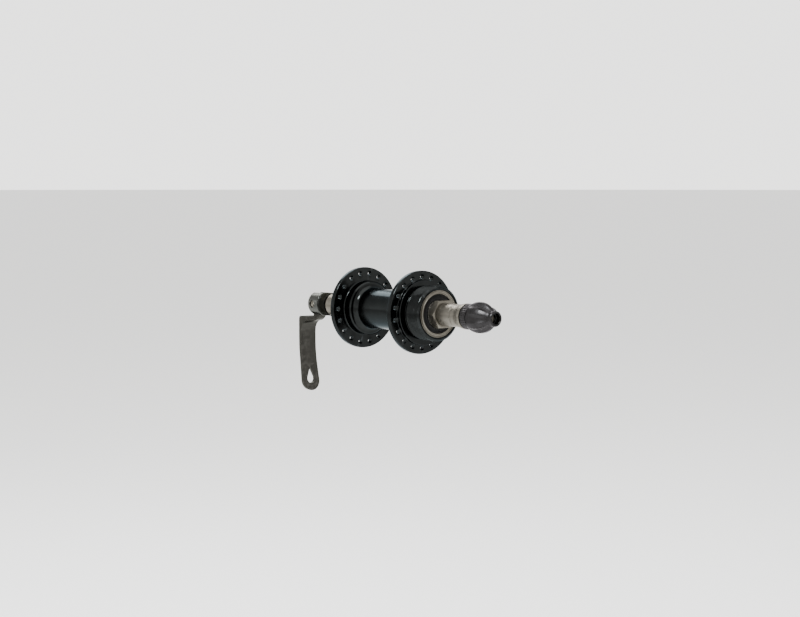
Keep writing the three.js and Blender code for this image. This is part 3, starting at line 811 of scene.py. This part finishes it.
def make_cam_shaft():
    half_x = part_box("cam_shaft")[1][0] / MM
    shaft = along_x("shaft", rounded([
        (0, -half_x), (0.9, -half_x, 0.1), (1.2, -half_x + 0.5, 0.1), (1.5, -half_x + 0.05, 0.1),
        (2.2, -half_x, 0.3), (2.2, -1.5), (0, -1.5),
    ], 3), PIVOT_Y)
    other = along_x("shaft_b", rounded([
        (0, half_x - 0.5), (1.0, half_x - 0.5, 0.1), (1.2, half_x, 0.1), (2.2, half_x, 0.3),
        (2.2, 1.5), (0, 1.5),
    ], 3), PIVOT_Y)
    cam = along_x("cam", [(0, -2), (1.5, -2), (1.5, 2), (0, 2)], PIVOT_Y - CAM_THROW)
    combine(shaft, cam, "UNION")
    combine(shaft, other, "UNION")
    stand_for(shaft, "cam_shaft")


def make_housing():
    start, end, radius = span("cam_housing")
    body = turned("housing", rounded([
        (0, start), (radius, start, 0.35), (radius, end - 2.2, 1.0), (radius - 2.2, end, 1.2), (0, end),
    ], 6), 128)
    slot = block("slot", -SLOT_HALF_X, SLOT_HALF_X, SLOT_FLOOR_Y, end + 3, -12, 12)
    combine(body, slot, "DIFFERENCE")
    notch = block("notch", -SLOT_HALF_X, SLOT_HALF_X, start - 1, SLOT_FLOOR_Y + 0.3, NOTCH_Z, 12)
    combine(body, notch, "DIFFERENCE")
    rod_hole = turned("rod_hole", [(0, start - 1), (ROD_HOLE_R, start - 1), (ROD_HOLE_R, 78), (0, 78)], 64)
    combine(body, rod_hole, "DIFFERENCE")
    shaft_outline = [(0, -12), (SHAFT_HOLE_R, -12), (SHAFT_HOLE_R, 12), (0, 12)]
    shaft_hole = along_x("shaft_hole", shaft_outline, PIVOT_Y)
    combine(body, shaft_hole, "DIFFERENCE")
    stand_for(soften(body, 0.28, 3, 38), "cam_housing")


def make_base_ring():
    start, end, radius = span("base_ring")
    outline = [(RECESS_R, start), (radius - 0.3, start), (radius, start + 0.35)]
    outline += rows(radius, start + 1.0, start + 4.6, 0.6)
    outline += rounded([
        (radius, start + 5.2), (radius - 0.35, start + 5.5, 0.2), (radius - 0.35, end - 0.7, 0.2),
    ])
    outline += [(radius, end - 0.4), (radius, end), (RECESS_R, end)]

    def knurl(r, y, angle):
        ridge = abs(2 * ((angle * RING_RIBS / TAU) % 1) - 1)
        if abs(r - radius) < 1e-6 and start + 0.9 < y < start + 4.7:
            return r - RING_RIB_DEPTH * ridge, y
        if y < start + 0.01 and r > RECESS_R + 0.1:
            return r, y + RING_RIB_DEPTH * ridge
        return r, y

    stand_for(turned("clamp_ring", outline, RING_RIBS * 4, knurl), "base_ring")


HEAD_HALF_X = 2.7
HEAD_R = 4.4
ARM_HALF_WIDTH = 6.2
ARM_TOP_Z = -8.5
LOOP_R = 6.8
LOOP_HOLE_R = 3.2
LOOP_HOLE_Z = -52
LOOP_HOLE_TOP_Z = -43.5


def prism(name, outline, axis, start, end):
    """Pushes an outline, given in the other two axes' order, along axis from start to end."""
    place = {
        "x": lambda a, b, t: (t, a, b),
        "y": lambda a, b, t: (a, t, b),
        "z": lambda a, b, t: (a, b, t),
    }[axis]
    return loft(name, [[place(a, b, t) for a, b in outline] for t in (start, end)])


def mirrored(half):
    """A closed outline from its right half, which runs downwards."""
    return half + [(-corner[0], *corner[1:]) for corner in reversed(half)]


def lever_side(tip_z):
    """The lever seen along the bicycle, in Y and Z: neck, outward bend, straight arm and tilted loop."""
    return rounded([
        (85.4, -2.4), (86.2, -4.6, 1), (86.8, -8.75, 0.6), (98.8, -8.95, 2.4), (98.8, -32, 7),
        (94.4, tip_z), (92, tip_z), (96.4, -32.2, 7), (96.4, -12.2, 8),
        (84, -11.6, 2.4), (80.2, -8.8, 1.8), (79.4, -5.6, 1), (78.6, -2.4),
    ], 8)


def lever_face(tip_z):
    """The lever seen from the side of the bicycle, in X and Z."""
    top = rounded(mirrored([
        (HEAD_HALF_X, 2), (HEAD_HALF_X, ARM_TOP_Z), (ARM_HALF_WIDTH, ARM_TOP_Z),
        (ARM_HALF_WIDTH, -40, 4), (LOOP_R, tip_z + LOOP_R),
    ]), 6)
    half = len(top) // 2
    return top[:half - 1] + arc(0, tip_z + LOOP_R, LOOP_R, 360, 180, 40) + top[half + 1:]


def lever_plan():
    """The lever seen from above, in X and Y: it widens from the neck to the arm."""
    return rounded(mirrored([
        (HEAD_HALF_X, 76), (HEAD_HALF_X, 86.6, 1.4), (ARM_HALF_WIDTH - 0.5, 89.4, 1.6),
        (ARM_HALF_WIDTH + 0.05, 91.6, 0.5), (LOOP_R + 1, 91.65), (LOOP_R + 1, 104),
    ]), 6)


def teardrop():
    """The loop's hole, in X and Z."""
    top = LOOP_HOLE_TOP_Z - LOOP_HOLE_Z
    lean = math.degrees(math.asin(LOOP_HOLE_R / top))
    ring = arc(0, LOOP_HOLE_Z, LOOP_HOLE_R, 180 - lean, 360 + lean, 32)
    tip_r = 0.5
    tip_z = LOOP_HOLE_TOP_Z - tip_r / math.sin(math.radians(lean))
    return ring + arc(0, tip_z, tip_r, lean, 180 - lean, 8)


def make_lever():
    tip_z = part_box("quick_release_lever")[0][2] / MM
    arm = prism("lever_arm", lever_side(tip_z), "x", -9, 9)
    combine(arm, prism("face", lever_face(tip_z), "y", 60, 110), "INTERSECT")
    combine(arm, prism("plan", lever_plan(), "z", tip_z - 5, 5), "INTERSECT")
    combine(arm, prism("loop_hole", teardrop(), "y", 60, 110), "DIFFERENCE")
    soften(arm, 0.45, 3, 50)
    head = rounded([
        (0, -HEAD_HALF_X), (HEAD_R, -HEAD_HALF_X, 0.3), (HEAD_R, HEAD_HALF_X, 0.3), (0, HEAD_HALF_X),
    ])
    combine(arm, along_x("lever_head", head, PIVOT_Y), "UNION")
    throat = along_x("throat", [(0, -1.5), (5.2, -1.5), (5.2, 1.5), (0, 1.5)], PIVOT_Y)
    combine(arm, throat, "DIFFERENCE")
    shaft_hole = along_x("lever_hole", [(0, -9), (2.25, -9), (2.25, 9), (0, 9)], PIVOT_Y)
    combine(arm, shaft_hole, "DIFFERENCE")
    stand_for(arm, "quick_release_lever")


# ------------------------------------------------------------------ the whole hub

make_camera()
make_floor()
make_studio()
make_shell()
make_bearing("drive")
make_bearing("lever_side")
make_axle()
make_tube("drive_washer", "drive_lock_washer", 0.2)
make_tube("lever_side_washer", "lever_side_lock_washer", 0.2)
make_tube("drive_spacer_tube", "drive_spacer")
make_tube("lever_side_spacer_tube", "lever_side_spacer")
make_hex_nut()
make_end_locknut("drive_end_locknut", 6.4, 7.1)
make_end_locknut("lever_side_end_locknut", 6.3, 7.4)
make_nut()
make_spring("nut_spring", "nut_volute")
make_spring("lever_side_spring", "housing_volute")
make_rod()
make_cam_shaft()
make_housing()
make_base_ring()
make_lever()
